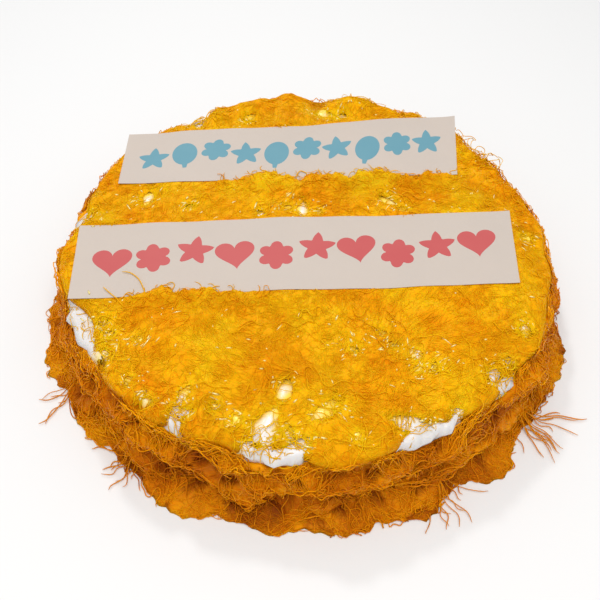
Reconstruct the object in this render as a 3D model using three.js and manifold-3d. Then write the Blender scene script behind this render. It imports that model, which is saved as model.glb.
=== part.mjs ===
// A round birthday cake covered with egg threads, in millimetres, +Z up.
// A flat, cream-coated sponge carries a matted layer of fine yellow threads on its top and a shaggier
// coat of them round its side, and two cut paper banners lie across the top.
// The origin is the middle of the base. +X runs along the banners, to the right of somebody who reads them.
import * as THREE from "three";
import { mergeVertices } from "three/addons/utils/BufferGeometryUtils.js";
import Module from "manifold-3d";

const wasm = await Module();
wasm.setup();

// Driving dimensions
const CAKE_RADIUS = 140;
const CAKE_HEIGHT = 44;
const SHOULDER = 4;
const TOP_COAT = 4.6;
const TOP_RADIUS = 144;
const SIDE_COAT = 7;
const SEAM_HEIGHT = 40;
const FOOT_RADIUS = 160;
const SWAG_HEIGHT = 22;
const THREAD_RADIUS = 0.75;
const PAPER_THICKNESS = 0.4;
const GAP = 0.4;

const GOLDEN_ANGLE = 2.39996;
const degrees = THREE.MathUtils.degToRad;
const { clamp, lerp, smoothstep } = THREE.MathUtils;

// One seeded stream of random numbers, so that the cake is the same each time.
function randomStream(seed) {
  let state = seed;
  return (low, high) => {
    state = (state * 1664525 + 1013904223) % 4294967296;
    return low + ((high - low) * state) / 4294967296;
  };
}

// An uneven pattern of about -1 to 1: sine waves of one length laid in five directions.
function waves(x, y, length, seed) {
  const count = 5;
  let sum = 0;
  for (let k = 0; k < count; k++) {
    const turn = seed + k * GOLDEN_ANGLE;
    const along = x * Math.cos(turn) + y * Math.sin(turn);
    sum += Math.sin((2 * Math.PI * along) / length + seed * (k + 1) * 1.7);
  }
  return sum / 2.2;
}

// A closed body of rings round the Z axis. profile(i, angle) gives ring i's radius and height there.
// The first and last rings are points on the axis, unless hollow joins them to each other instead.
function unevenLathe(profile, rings, segments, hollow) {
  const positions = [];
  const index = [];
  for (let i = 0; i < rings; i++)
    for (let j = 0; j < segments; j++) {
      const angle = (2 * Math.PI * j) / segments;
      const [radius, height] = profile(i, angle);
      positions.push(radius * Math.cos(angle), radius * Math.sin(angle), height);
    }
  const bands = hollow ? rings : rings - 1;
  for (let i = 0; i < bands; i++)
    for (let j = 0; j < segments; j++) {
      const a = i * segments + j;
      const b = i * segments + ((j + 1) % segments);
      const c = ((i + 1) % rings) * segments + j;
      const d = ((i + 1) % rings) * segments + ((j + 1) % segments);
      if (hollow || i > 0) index.push(a, c, b);
      if (hollow || i < rings - 2) index.push(b, c, d);
    }
  const geometry = new THREE.BufferGeometry();
  geometry.setAttribute("position", new THREE.Float32BufferAttribute(positions, 3));
  geometry.setIndex(index);
  return geometry;
}

function solidOf(geometry) {
  const bare = geometry.clone();
  bare.deleteAttribute("normal");
  bare.deleteAttribute("uv");
  const merged = mergeVertices(bare, 1e-4);
  const solid = new wasm.Manifold(
    new wasm.Mesh({
      numProp: 3,
      vertProperties: merged.attributes.position.array,
      triVerts: new Uint32Array(merged.index.array),
    }),
  );
  return solid;
}

function geometryOf(solid) {
  const mesh = solid.getMesh();
  const geometry = new THREE.BufferGeometry();
  geometry.setAttribute("position", new THREE.BufferAttribute(mesh.vertProperties, 3));
  geometry.setIndex(new THREE.BufferAttribute(mesh.triVerts, 1));
  return geometry;
}

// The cream-coated cake, grown by some clearance where it is used as a cutter.
function creamCake(grow) {
  const radius = CAKE_RADIUS + grow;
  const height = CAKE_HEIGHT + grow;
  const corner = 4;
  const segments = 52;
  const profile = [new THREE.Vector2(0, -grow), new THREE.Vector2(radius, -grow)];
  for (let k = 0; k <= corner; k++) {
    const turn = (Math.PI / 2) * (k / corner);
    const out = radius - SHOULDER + SHOULDER * Math.cos(turn);
    profile.push(new THREE.Vector2(out, height - SHOULDER + SHOULDER * Math.sin(turn)));
  }
  profile.push(new THREE.Vector2(0, height));
  const lathe = new THREE.LatheGeometry(profile, segments);
  return lathe.rotateX(Math.PI / 2);
}

// Where the top coat's lip and the side coat meet, which rises and falls round the cake.
function seamHeight(angle) {
  return SEAM_HEIGHT + 2.2 * waves(100 * Math.cos(angle), 100 * Math.sin(angle), 52, 12);
}

// The top coat's outline. The coat falls short of the rim in places, where the cream's edge shows, and at the
// back it bulges past the rim, where depth is below zero.
const NOTCHES = [
  { at: -154, half: 9, depth: 12 },
  { at: -65, half: 8, depth: 6 },
  { at: -96, half: 6, depth: 8 },
  { at: -118, half: 3, depth: 5 },
  { at: -43, half: 5, depth: 5 },
  { at: 173, half: 6, depth: 5 },
  { at: 122, half: 4, depth: 6 },
  { at: 96, half: 5, depth: -2 },
  { at: 75, half: 5, depth: -2.5 },
];

function topOutline(angle) {
  const x = 100 * Math.cos(angle);
  const y = 100 * Math.sin(angle);
  let radius = TOP_RADIUS + 1.6 * waves(x, y, 61, 4) + 1.2 * waves(x, y, 23, 5);
  for (const notch of NOTCHES) {
    const off = Math.atan2(Math.sin(angle - degrees(notch.at)), Math.cos(angle - degrees(notch.at)));
    radius -= notch.depth * Math.exp(-((off / degrees(notch.half)) ** 2));
  }
  return radius;
}

// Heaps of threads on the far rim: place, width and height.
const RIM_HEAPS = [
  { x: -14, y: 134, wide: 13, rise: 2.4 },
  { x: 34, y: 134, wide: 11, rise: 4.2 },
  { x: -50, y: 127, wide: 10, rise: 1.8 },
  { x: 112, y: 88, wide: 9, rise: 2 },
  { x: 136, y: 44, wide: 8, rise: 1.6 },
];

function topHeight(x, y) {
  const crown = 1.6 * (1 - (x * x + y * y) / TOP_RADIUS ** 2);
  const lumps = 1.1 * waves(x, y, 47, 1) + 0.9 * waves(x, y, 23, 2) + 0.6 * waves(x, y, 15, 3);
  let height = CAKE_HEIGHT + TOP_COAT + crown + lumps;
  for (const heap of RIM_HEAPS) {
    const off = Math.hypot(x - heap.x, y - heap.y) / heap.wide;
    height += heap.rise * Math.exp(-(off ** 2));
  }
  return height;
}

// The top coat before it is cut: lumpy above, rolled over at its edge, and lipped down over the shoulder.
function topSlab() {
  const flatRings = 13;
  const rollRings = 3;
  const segments = 82;
  const roll = 4.5;
  const lip = 1.2;
  const profile = (i, angle) => {
    const edge = topOutline(angle);
    const low = seamHeight(angle) + lip;
    if (i < flatRings) {
      const radius = ((edge - roll) * i) / (flatRings - 1);
      return [radius, topHeight(radius * Math.cos(angle), radius * Math.sin(angle))];
    }
    const turn = ((Math.PI / 2) * (i - flatRings + 1)) / rollRings;
    const radius = edge - roll + roll * Math.sin(turn);
    const height = topHeight(radius * Math.cos(angle), radius * Math.sin(angle));
    if (i < flatRings + rollRings) return [radius, height - (height - low - 2) * (1 - Math.cos(turn))];
    if (i === flatRings + rollRings) return [edge - 1, low];
    return [0, SEAM_HEIGHT];
  };
  return unevenLathe(profile, flatRings + rollRings + 2, segments, false);
}

// Gaps in the top coat where the white cream shows: place, half length, half width and turn.
const OPENINGS = [
  { x: -19, y: -125, long: 9.5, wide: 5, turn: 65 },
  { x: -11, y: -103, long: 6, wide: 3, turn: 80 },
  { x: 8, y: -116, long: 5, wide: 2.6, turn: 15 },
  { x: -3, y: -134, long: 5, wide: 2.6, turn: 35 },
  { x: 56, y: -125, long: 12, wide: 6, turn: 25 },
  { x: 98, y: -92, long: 4.5, wide: 3, turn: 120 },
  { x: 119, y: -62, long: 3.6, wide: 2.2, turn: 100 },
  { x: 58, y: -79, long: 3.4, wide: 2.4, turn: 130 },
  { x: -65, y: -119, long: 5, wide: 2.4, turn: 100 },
  { x: -100, y: 37, long: 6, wide: 2.6, turn: 85 },
  { x: -3, y: 29, long: 6, wide: 2.6, turn: 88 },
  { x: 50, y: 38, long: 5, wide: 2.2, turn: -40 },
  { x: -76, y: 114, long: 6.5, wide: 3, turn: 100 },
  { x: -41, y: 120, long: 4, wide: 2.4, turn: 60 },
  { x: 11, y: 126, long: 5, wide: 2.8, turn: 5 },
];

function openingCutter(opening) {
  const corners = 9;
  const outline = new THREE.Shape();
  for (let k = 0; k < corners; k++) {
    const turn = (2 * Math.PI * k) / corners;
    const wobble = 1 + 0.18 * Math.sin(3 * turn + opening.x);
    const along = opening.long * wobble * Math.cos(turn);
    const across = opening.wide * wobble * Math.sin(turn);
    if (k === 0) outline.moveTo(along, across);
    else outline.lineTo(along, across);
  }
  const deep = 30;
  const cutter = new THREE.ExtrudeGeometry(outline, { depth: deep, bevelEnabled: false });
  cutter.rotateZ(degrees(opening.turn));
  return cutter.translate(opening.x, opening.y, CAKE_HEIGHT - deep / 2);
}

// The side coat's outer surface: hanging swags and tufts over a slope that flares out at the foot.
function sideRadius(angle, height) {
  const x = 100 * Math.cos(angle);
  const y = 100 * Math.sin(angle);
  const flare = (FOOT_RADIUS - CAKE_RADIUS - SIDE_COAT) * Math.exp(-height / 5);
  const shoulder = 3.5 * smoothstep(height, seamHeight(angle) - 9, seamHeight(angle)) ** 2;
  const droop = 0.35 * waves(x, y, 70, 6) + 0.2 * waves(x, y, 31, 7);
  const swag = 1.5 * Math.sin(2 * Math.PI * (height / SWAG_HEIGHT + droop));
  const tufts = 1.7 * waves(x, y + 2 * height, 29, 8) + 0.8 * waves(x + height, y, 14, 9);
  const tongues = 2.4 * waves(x, y, 27, 10) * Math.exp(-height / 3.5);
  return CAKE_RADIUS + SIDE_COAT + flare - shoulder + swag + tufts + tongues;
}

function sideRing() {
  const levels = 12;
  const segments = 90;
  const closerBelow = 1.3;
  const inside = CAKE_RADIUS - 2;
  const profile = (i, angle) => {
    const share = 1 - Math.min(i, levels) / levels;
    const height = seamHeight(angle) * share ** closerBelow;
    if (i <= levels) return [sideRadius(angle, height), height];
    return [inside, i === levels + 1 ? 0 : seamHeight(angle)];
  };
  return unevenLathe(profile, levels + 3, segments, true);
}

// One thread, or a lock of several stuck together, as a tube along a smooth route.
function strand(route, radius) {
  const sides = 4;
  const section = new THREE.Shape();
  for (let k = 0; k < sides; k++) {
    const turn = (2 * Math.PI * k) / sides;
    if (k === 0) section.moveTo(radius, 0);
    else section.lineTo(radius * Math.cos(turn), radius * Math.sin(turn));
  }
  const path = new THREE.CatmullRomCurve3(route, false, "centripetal");
  const steps = route.length;
  return new THREE.ExtrudeGeometry(section, { steps, extrudePath: path, bevelEnabled: false });
}

// Loose loops on the top coat, near its edge, where they stand up against the light.
function topStrands() {
  const random = randomStream(11);
  const count = 15;
  const strands = [];
  for (let k = 0; k < count; k++) {
    const angle = (2 * Math.PI * (k + random(-0.3, 0.3))) / count;
    const start = topOutline(angle) - random(9, 14);
    let x = start * Math.cos(angle);
    let y = start * Math.sin(angle);
    let heading = angle + Math.PI / 2 + random(-0.5, 0.5);
    const curl = random(-0.25, 0.35);
    const loop = random(1.5, 5);
    const route = [];
    const steps = 5;
    for (let s = 0; s <= steps; s++) {
      const rise = loop * Math.sin((Math.PI * s) / steps);
      route.push(new THREE.Vector3(x, y, topHeight(x, y) - THREAD_RADIUS * 0.6 + rise));
      x += 5 * Math.cos(heading);
      y += 5 * Math.sin(heading);
      heading += curl;
    }
    strands.push(strand(route, THREAD_RADIUS));
  }
  return strands;
}

// Threads that bow out of the side coat and come back into it.
function sideStrands() {
  const random = randomStream(23);
  const count = 18;
  const strands = [];
  for (let k = 0; k < count; k++) {
    let angle = (2 * Math.PI * (k + random(-0.4, 0.4))) / count;
    let height = random(9, 30);
    const across = random(-0.045, 0.045);
    const down = random(-4.5, 2);
    const loop = random(1.5, 4);
    const route = [];
    const steps = 5;
    for (let s = 0; s <= steps; s++) {
      const out = sideRadius(angle, height) - THREAD_RADIUS * 0.7 + loop * Math.sin((Math.PI * s) / steps);
      route.push(new THREE.Vector3(out * Math.cos(angle), out * Math.sin(angle), height));
      angle += across;
      height = clamp(height + down, 2, SEAM_HEIGHT - 3);
    }
    strands.push(strand(route, THREAD_RADIUS));
  }
  return strands;
}

// Locks of threads that have slid down and lie on what the cake stands on.
function footStrands() {
  const random = randomStream(37);
  const count = 20;
  const strands = [];
  for (let k = 0; k < count; k++) {
    let angle = (2 * Math.PI * (k + random(-0.35, 0.35))) / count;
    const radius = THREAD_RADIUS * random(1, 1.7);
    const reach = random(9, 15);
    const bend = random(-0.03, 0.03);
    const start = sideRadius(angle, 1) - 6;
    const route = [];
    const steps = 4;
    for (let s = 0; s <= steps; s++) {
      const out = Math.min(start + (reach * s) / steps, FOOT_RADIUS + 9);
      const height = radius + 0.15 + (3 - radius) * (1 - s / steps) ** 2;
      route.push(new THREE.Vector3(out * Math.cos(angle), out * Math.sin(angle), height));
      angle += bend;
    }
    strands.push(strand(route, radius));
  }
  return strands;
}

// The banners: corners from the far left one clockwise, and the heights that the paper takes along its length.
const REAR_BANNER = {
  corners: [[-120, 94], [101, 119.5], [95.5, 59], [-119.5, 45.5]],
  heights: [6.6, 8.2, 6.4, 8.4, 7.2],
};
const FRONT_BANNER = {
  corners: [[-136.5, 8.5], [123.5, 26.5], [120, -31.5], [-132, -48]],
  heights: [5.8, 7.4, 7.8, 6.6, 6.9],
};

function bannerHeight(banner, along, across) {
  const place = clamp(along, 0, 1) * (banner.heights.length - 1);
  const k = Math.min(Math.floor(place), banner.heights.length - 2);
  const ease = smoothstep(place - k, 0, 1);
  const bow = 0.8 * Math.sin(Math.PI * clamp(across, 0, 1));
  return CAKE_HEIGHT + lerp(banner.heights[k], banner.heights[k + 1], ease) + bow;
}

// A banner's sheet between two offsets from its middle surface, with its outline moved out by grow.
function bannerSheet(banner, low, high, grow) {
  const alongCells = 20;
  const acrossCells = 3;
  const [farLeft, farRight, nearRight, nearLeft] = banner.corners;
  const length = Math.hypot(farRight[0] - farLeft[0], farRight[1] - farLeft[1]);
  const width = Math.hypot(farLeft[0] - nearLeft[0], farLeft[1] - nearLeft[1]);
  const positions = [];
  for (const offset of [low, high])
    for (let i = 0; i <= alongCells; i++)
      for (let j = 0; j <= acrossCells; j++) {
        const along = lerp(-grow / length, 1 + grow / length, i / alongCells);
        const across = lerp(-grow / width, 1 + grow / width, j / acrossCells);
        const x = lerp(lerp(farLeft[0], farRight[0], along), lerp(nearLeft[0], nearRight[0], along), across);
        const y = lerp(lerp(farLeft[1], farRight[1], along), lerp(nearLeft[1], nearRight[1], along), across);
        positions.push(x, y, bannerHeight(banner, along, across) + offset);
      }
  const layer = (alongCells + 1) * (acrossCells + 1);
  const at = (i, j) => i * (acrossCells + 1) + j;
  const index = [];
  for (let i = 0; i < alongCells; i++)
    for (let j = 0; j < acrossCells; j++) {
      const [a, b, c, d] = [at(i, j), at(i + 1, j), at(i + 1, j + 1), at(i, j + 1)];
      index.push(a, b, c, a, c, d);
      index.push(layer + a, layer + c, layer + b, layer + a, layer + d, layer + c);
    }
  const wall = (a, b) => index.push(a, layer + a, b, b, layer + a, layer + b);
  for (let i = 0; i < alongCells; i++) {
    wall(at(i, 0), at(i + 1, 0));
    wall(at(i + 1, acrossCells), at(i, acrossCells));
  }
  for (let j = 0; j < acrossCells; j++) {
    wall(at(0, j + 1), at(0, j));
    wall(at(alongCells, j), at(alongCells, j + 1));
  }
  const geometry = new THREE.BufferGeometry();
  geometry.setAttribute("position", new THREE.Float32BufferAttribute(positions, 3));
  geometry.setIndex(index);
  return geometry;
}

function withStrands(body, strands) {
  return strands.reduce((whole, geometry) => whole.add(solidOf(geometry)), body);
}

function largestPiece(solid) {
  return solid.decompose().reduce((most, piece) => (piece.volume() > most.volume() ? piece : most));
}

const cakeClearance = solidOf(creamCake(GAP));
const bannerClearances = [REAR_BANNER, FRONT_BANNER].map((banner) =>
  solidOf(bannerSheet(banner, -PAPER_THICKNESS / 2 - GAP, 20, 1)),
);

let topSolid = withStrands(solidOf(topSlab()), topStrands()).subtract(cakeClearance);
for (const opening of OPENINGS) topSolid = topSolid.subtract(solidOf(openingCutter(opening)));
for (const clearance of bannerClearances) topSolid = topSolid.subtract(clearance);
topSolid = largestPiece(topSolid);

const sideBody = withStrands(solidOf(sideRing()), [...sideStrands(), ...footStrands()]);
const sideSolid = largestPiece(sideBody.subtract(cakeClearance).trimByPlane([0, 0, 1], 0));

function finish(colour, roughness) {
  return new THREE.MeshStandardMaterial({ color: colour, roughness, metalness: 0 });
}

const CREAM = finish("#f6f1ea", 0.35);
const TOP_THREADS = finish("#f0a60c", 0.35);
const SIDE_THREADS = finish("#d88a0e", 0.4);
const PAPER = finish("#e6dcd8", 0.7);

const cake = new THREE.Group();
function addPiece(name, geometry, material) {
  const mesh = new THREE.Mesh(geometry, material);
  mesh.name = name;
  cake.add(mesh);
}

addPiece("cream_cake", creamCake(0), CREAM);
addPiece("top_threads", geometryOf(topSolid), TOP_THREADS);
addPiece("side_threads", geometryOf(sideSolid), SIDE_THREADS);
addPiece("rear_banner", bannerSheet(REAR_BANNER, -PAPER_THICKNESS / 2, PAPER_THICKNESS / 2, 0), PAPER);
addPiece("front_banner", bannerSheet(FRONT_BANNER, -PAPER_THICKNESS / 2, PAPER_THICKNESS / 2, 0), PAPER);

// The loose threads reach out unevenly, so the pieces move until the origin is below the middle of them all.
const middle = new THREE.Box3().setFromObject(cake).getCenter(new THREE.Vector3());
for (const mesh of cake.children) mesh.position.set(-middle.x, -middle.y, 0);

export default cake;
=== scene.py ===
import math
import bpy
import numpy as np
from mathutils import Matrix, Vector


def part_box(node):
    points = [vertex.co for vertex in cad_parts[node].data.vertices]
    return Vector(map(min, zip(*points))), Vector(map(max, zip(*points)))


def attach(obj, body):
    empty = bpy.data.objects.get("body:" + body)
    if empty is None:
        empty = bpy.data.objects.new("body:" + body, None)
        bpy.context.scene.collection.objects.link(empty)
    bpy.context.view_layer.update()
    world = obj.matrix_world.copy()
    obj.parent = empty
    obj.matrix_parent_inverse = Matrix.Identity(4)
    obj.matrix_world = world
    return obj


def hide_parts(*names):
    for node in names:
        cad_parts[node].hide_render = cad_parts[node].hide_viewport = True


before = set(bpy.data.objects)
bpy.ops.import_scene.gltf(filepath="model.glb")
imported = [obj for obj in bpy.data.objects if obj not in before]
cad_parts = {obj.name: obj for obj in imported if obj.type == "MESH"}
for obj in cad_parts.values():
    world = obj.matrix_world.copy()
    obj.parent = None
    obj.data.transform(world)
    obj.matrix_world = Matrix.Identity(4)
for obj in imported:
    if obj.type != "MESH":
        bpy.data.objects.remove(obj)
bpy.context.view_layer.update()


# The cream-coated cake
# A flat round sponge under a coat of whipped cream, smoothed with a palette knife and still moist. It shows
# only where the threads leave gaps, and there the soft cream swells up a little.
cake_low, cake_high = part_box("cream_cake")

# Places are in millimetres from the middle of the cake's base, here and below. make_piece turns them into
# metres.
cake_middle = 500 * np.array([cake_low.x + cake_high.x, cake_low.y + cake_high.y, 0])
cake_radius = 500 * (cake_high.x - cake_low.x)
cake_height = 1000 * cake_high.z
cake_shoulder = 4
cream_swell = 3.2

# How far round a gap the cream swells and the threads are pale, and how far they lie thin.
swell_margin = 7
thin_margin = 6

# The turn in radians that spreads directions and skeins evenly.
golden_turn = 2.39996

# Each gap in the top threads: place, half length, half width, and turn in degrees.
gaps = [
    (-20, -124, 10, 5, 65), (-11, -103, 6.2, 3, 80), (8, -116, 5, 2.6, 15), (-3, -134, 5.5, 2.6, 35),
    (-34, -120, 2.2, 1.6, 40), (-8, -127, 2.4, 1.4, 90), (-27, -135, 5, 2, 10), (-7, -140, 5, 2.6, 0),
    (52, -122, 10, 4, -25), (64, -127, 10, 4.6, 25), (76, -116, 5, 1.6, 95), (83, -120, 6, 2, 40),
    (98, -92, 4.8, 3.2, 120), (106, -83, 3, 1.5, 110), (119, -62, 3.8, 2.2, 100), (58, -79, 3.4, 2.3, 130),
    (47, -73, 2, 1.2, 0), (41, -66, 2, 1.2, 150), (58, -88, 2, 1, 30), (67, -86, 1.8, 1.1, 90),
    (-65, -119, 5.2, 2.5, 100), (-62, -106, 6, 1.3, 70), (-61, -117, 6, 1.3, 20), (-91, -98, 3, 1.2, 60),
    (-81, -111, 4, 1.4, 10), (-111, -62, 3, 1.1, 30), (-106, -69, 3, 1.1, 40), (-107, -84, 5, 2, 105),
    (25, -128, 1.8, 1.1, 90), (25, -77, 1.8, 1.1, 0), (13, -110, 2.6, 1.2, 10), (-46, -113, 2, 1, 60),
    (-100, 37, 6, 2.5, 85), (-135, 20, 4.5, 2.4, 60), (-3, 29, 6.2, 2.7, 88), (7, 27, 2.6, 1, 80),
    (-12, 31, 2, 1.2, 0), (-29, 25, 3, 1.6, 90), (50, 38, 5.2, 2.2, -40), (59, 30, 2.6, 1.6, 20),
    (-73, 30, 2.4, 1.2, 0), (131, 7, 4, 1.6, 130), (-76, 114, 6.6, 3, 100), (-41, 120, 3.8, 2.3, 40),
    (11, 126, 4.4, 2.4, 5), (24, 123, 2.8, 1.6, 0), (88, 14, 1.8, 1, 30), (-90, -72, 1.6, 1, 0),
]

# Where the threads fall short of the rim: angle in degrees, half width in degrees, depth. Two places at the
# back bulge past it instead.
notches = [
    (-154, 9, 12), (-65, 8, 6), (-96, 6, 8), (-118, 3, 5), (-43, 5, 5), (173, 6, 5), (122, 4, 6), (96, 5, -2),
    (75, 5, -2.5),
]


def waves(x, y, length, seed):
    """An uneven pattern of about -1 to 1: sine waves of one length laid in five directions."""
    total = 0
    for k in range(5):
        turn = seed + k * golden_turn
        along = x * np.cos(turn) + y * np.sin(turn)
        total = total + np.sin(2 * np.pi * along / length + seed * (k + 1) * 1.7)
    return total / 2.2


def ease(value, low, high):
    share = np.clip((value - low) / (high - low), 0, 1)
    return share * share * (3 - 2 * share)


def gap_distance(x, y):
    """Millimetres to the edge of the nearest gap, negative inside it."""
    nearest = np.full(np.shape(x), 60.0)
    for at_x, at_y, long, wide, turn in gaps:
        c, s = math.cos(math.radians(turn)), math.sin(math.radians(turn))
        along = (x - at_x) * c + (y - at_y) * s + 1e-6
        across = (y - at_y) * c - (x - at_x) * s
        reach = np.hypot(along, across)
        share = (np.abs(along / long) ** 1.3 + np.abs(across / wide) ** 1.3) ** (1 / 1.3) / 1.12
        nearest = np.minimum(nearest, reach - reach / share)
    return nearest + 0.5 * waves(x, y, 5.5, 3) + 0.25 * waves(x, y, 2.7, 6)


def cream_surface(x, y):
    """Height of the cream over a point of the cake's plan, out to the foot of its rounded edge."""
    reach = np.clip(np.hypot(x, y) - (cake_radius - cake_shoulder), 0, cake_shoulder)
    height = cake_height - cake_shoulder + np.sqrt(cake_shoulder ** 2 - reach ** 2)
    swell = cream_swell * ease(-gap_distance(x, y), -swell_margin, 1.5)
    return height + swell * (1 - reach / cake_shoulder)


def turn_from(angle, at):
    """The shorter turn from a direction in degrees to an angle, in radians."""
    return np.angle(np.exp(1j * (angle - math.radians(at))))


def notch_share(angle):
    """How bare of threads the rim is in a direction, from 0 to 1."""
    share = 0 * angle
    for at, half, depth in notches:
        off = turn_from(angle, at) / math.radians(half)
        share = np.maximum(share, np.clip(depth / 6, 0, 1) * np.exp(-(off ** 2)))
    return share


def cream_bulge(x, y):
    """How far the cream's edge swells out where the threads fall short of the rim."""
    near_rim = ease(np.hypot(x, y), cake_radius - 14, cake_radius - 1)
    return (3.4 + 1.8 * waves(x, y, 11, 35)) * notch_share(np.arctan2(y, x)) * near_rim


def grid_quads(number):
    """The four corners of each cell of a grid of numbered points."""
    corners = [number[:-1, :-1], number[1:, :-1], number[1:, 1:], number[:-1, 1:]]
    return np.stack(corners, -1).reshape(-1, 4)


def round_grid(cells):
    """A square grid pressed into a disc of radius 1: x, y, its quads, and its rim in order."""
    steps = np.linspace(-1, 1, cells + 1)
    a, b = np.meshgrid(steps, steps, indexing="ij")
    wide = np.abs(a) > np.abs(b)
    radius = np.where(wide, a, b)
    safe_a, safe_b = np.where(wide, a, 1), np.where(wide | (b == 0), 1, b)
    turn = np.where(wide, np.pi / 4 * b / safe_a, np.pi / 2 - np.pi / 4 * a / safe_b)
    number = np.arange((cells + 1) ** 2).reshape(cells + 1, cells + 1)
    rim = np.concatenate([number[:-1, 0], number[-1, :-1], number[:0:-1, -1], number[0, :0:-1]])
    return (radius * np.cos(turn)).ravel(), (radius * np.sin(turn)).ravel(), grid_quads(number), rim


def make_piece(name, points, faces, material, values=None, crease=180):
    """A smooth mesh piece that rides on the cake. values are the numbers at each point that its material
    reads, and an edge that turns by more than crease degrees stays sharp."""
    mesh = bpy.data.meshes.new(name)
    mesh.from_pydata(((points + cake_middle) / 1000).tolist(), [], faces)
    mesh.shade_smooth()
    mesh.set_sharp_from_angle(angle=math.radians(crease))
    mesh.materials.append(material)
    for key, numbers in (values or {}).items():
        attribute = mesh.attributes.new(key, "FLOAT", "POINT")
        attribute.data.foreach_set("value", np.asarray(numbers, np.float32).ravel())
    piece = bpy.data.objects.new(name, mesh)
    bpy.context.scene.collection.objects.link(piece)
    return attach(piece, "root")


def new_material(name, roughness, specular, subsurface, radius):
    """A material with one shader: returns it with its nodes, its links and the shader."""
    material = bpy.data.materials.new(name)
    material.use_nodes = True
    nodes, links = material.node_tree.nodes, material.node_tree.links
    shader = nodes["Principled BSDF"]
    shader.inputs["Roughness"].default_value = roughness
    shader.inputs["Specular IOR Level"].default_value = specular
    shader.inputs["Subsurface Weight"].default_value = subsurface
    shader.inputs["Subsurface Radius"].default_value = radius
    shader.inputs["Subsurface Scale"].default_value = 0.001
    return material, nodes, links, shader


def read_value(nodes, key):
    """The number that a mesh holds at each point under this name."""
    attribute = nodes.new("ShaderNodeAttribute")
    attribute.attribute_name = key
    return attribute.outputs["Fac"]


def add_noise(nodes, links, per_metre, detail=3):
    """Noise fixed to the object, with so many lumps to the metre."""
    place = nodes.new("ShaderNodeTexCoord")
    noise = nodes.new("ShaderNodeTexNoise")
    noise.inputs["Scale"].default_value = per_metre
    noise.inputs["Detail"].default_value = detail
    noise.inputs["Roughness"].default_value = 0.6
    links.new(place.outputs["Object"], noise.inputs["Vector"])
    return noise.outputs["Fac"]


def add_bump(nodes, links, shader, height, strength, deep):
    bump = nodes.new("ShaderNodeBump")
    bump.inputs["Strength"].default_value = strength
    bump.inputs["Distance"].default_value = deep
    links.new(height, bump.inputs["Height"])
    links.new(bump.outputs["Normal"], shader.inputs["Normal"])


def mix_colours(nodes, links, factor, first, second):
    """Blends two colours, or the outputs of two nodes, by factor."""
    mix = nodes.new("ShaderNodeMix")
    mix.data_type = "RGBA"
    links.new(factor, mix.inputs["Factor"])
    for socket, colour in ((mix.inputs["A"], first), (mix.inputs["B"], second)):
        if isinstance(colour, tuple):
            socket.default_value = (*colour, 1)
        else:
            links.new(colour, socket)
    return mix.outputs["Result"]


cream_material, nodes, links, shader = new_material("whipped cream", 0.24, 0.5, 0.35, (3.0, 2.4, 1.8))
cream_white, cream_shade, cream_syrup_and_painted_bounce = (0.80, 0.78, 0.765), (0.72, 0.69, 0.68), (0.98, 0.69, 0.07)
mottled = mix_colours(nodes, links, add_noise(nodes, links, 90), cream_white, cream_shade)
# The cream turns yellow except in the middle of the wide gaps: partly syrup that has seeped into it, partly
# painted yellow light thrown on it by the threads round it.
soaked_and_painted_bounce = mix_colours(nodes, links, read_value(nodes, "syrup"), mottled, cream_syrup_and_painted_bounce)
links.new(soaked_and_painted_bounce, shader.inputs["Base Color"])
add_bump(nodes, links, shader, add_noise(nodes, links, 420), 0.35, 0.0006)

disc_x, disc_y, quads, rim = round_grid(96)
shoulder_arc = cake_shoulder * math.pi / 2
flat_reach = cake_radius - cake_shoulder
whole_reach = flat_reach + shoulder_arc + cake_height - cake_shoulder
reach = whole_reach * np.hypot(disc_x, disc_y)
angle = np.arctan2(disc_y, disc_x)
turn = np.clip((reach - flat_reach) / cake_shoulder, 0, np.pi / 2)
out = np.minimum(reach, flat_reach) + cake_shoulder * np.sin(turn)
x, y = out * np.cos(angle), out * np.sin(angle)
hanging = np.maximum(reach - flat_reach - shoulder_arc, 0)
strokes = 0.35 * waves(x, y, 21, 31) + 0.2 * waves(x, y, 8, 32)
strokes += 1.0 * waves(x, y, 10, 34) * ease(out, cake_radius - 20, cake_radius - 6)
z = np.where(hanging > 0, cake_height - cake_shoulder - hanging, cream_surface(x, y) + strokes * np.cos(turn))
grown = 1 + cream_bulge(x, y) * ease(z, 36, 41) / cake_radius
points = np.stack([x * grown, y * grown, np.maximum(z, 0)], 1)
points = np.append(points, [[0, 0, 0]], 0)
faces = quads.tolist() + [[len(points) - 1, rim[i], rim[i - 1]] for i in range(len(rim))]
# The share of that yellow: full under the threads and at the edges of the gaps, none in the middle of the
# wide gaps or where the rim is bare.
syrup = ease(gap_distance(points[:, 0], points[:, 1]), -3.0, -0.3)
bare_rim = ease(notch_share(np.arctan2(points[:, 1], points[:, 0])), 0.1, 0.4)
syrup *= 1 - bare_rim * ease(np.hypot(points[:, 0], points[:, 1]), cake_radius - 14, cake_radius - 8)
cream_coat = make_piece("cream_coat", points, faces, cream_material, {"syrup": syrup})
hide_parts("cream_cake")


# The matted coat of threads on the top
# Thousands of fine egg threads laid on the cream and patted flat, so that they cling together like felt.
# The coat rolls over the cake's shoulder, falls short of it in places, and is pressed down under the two
# banners.
top_thickness = 4.6
top_radius = 144
seam_middle = 40
rim_roll = 4.5
rim_arc = 8.5
thin_edge = 0.7

# Heaps of threads at the far rim: place, width and height.
rim_heaps = [
    (-12, 135, 12, 3.2), (31, 134, 14, 5.6), (-42, 130, 14, 3.4), (-68, 120, 11, 3.2), (7, 139, 7, -2.6),
    (55, 132, 8, 1.5), (112, 88, 9, 2), (136, 44, 8, 1.6),
]

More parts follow.
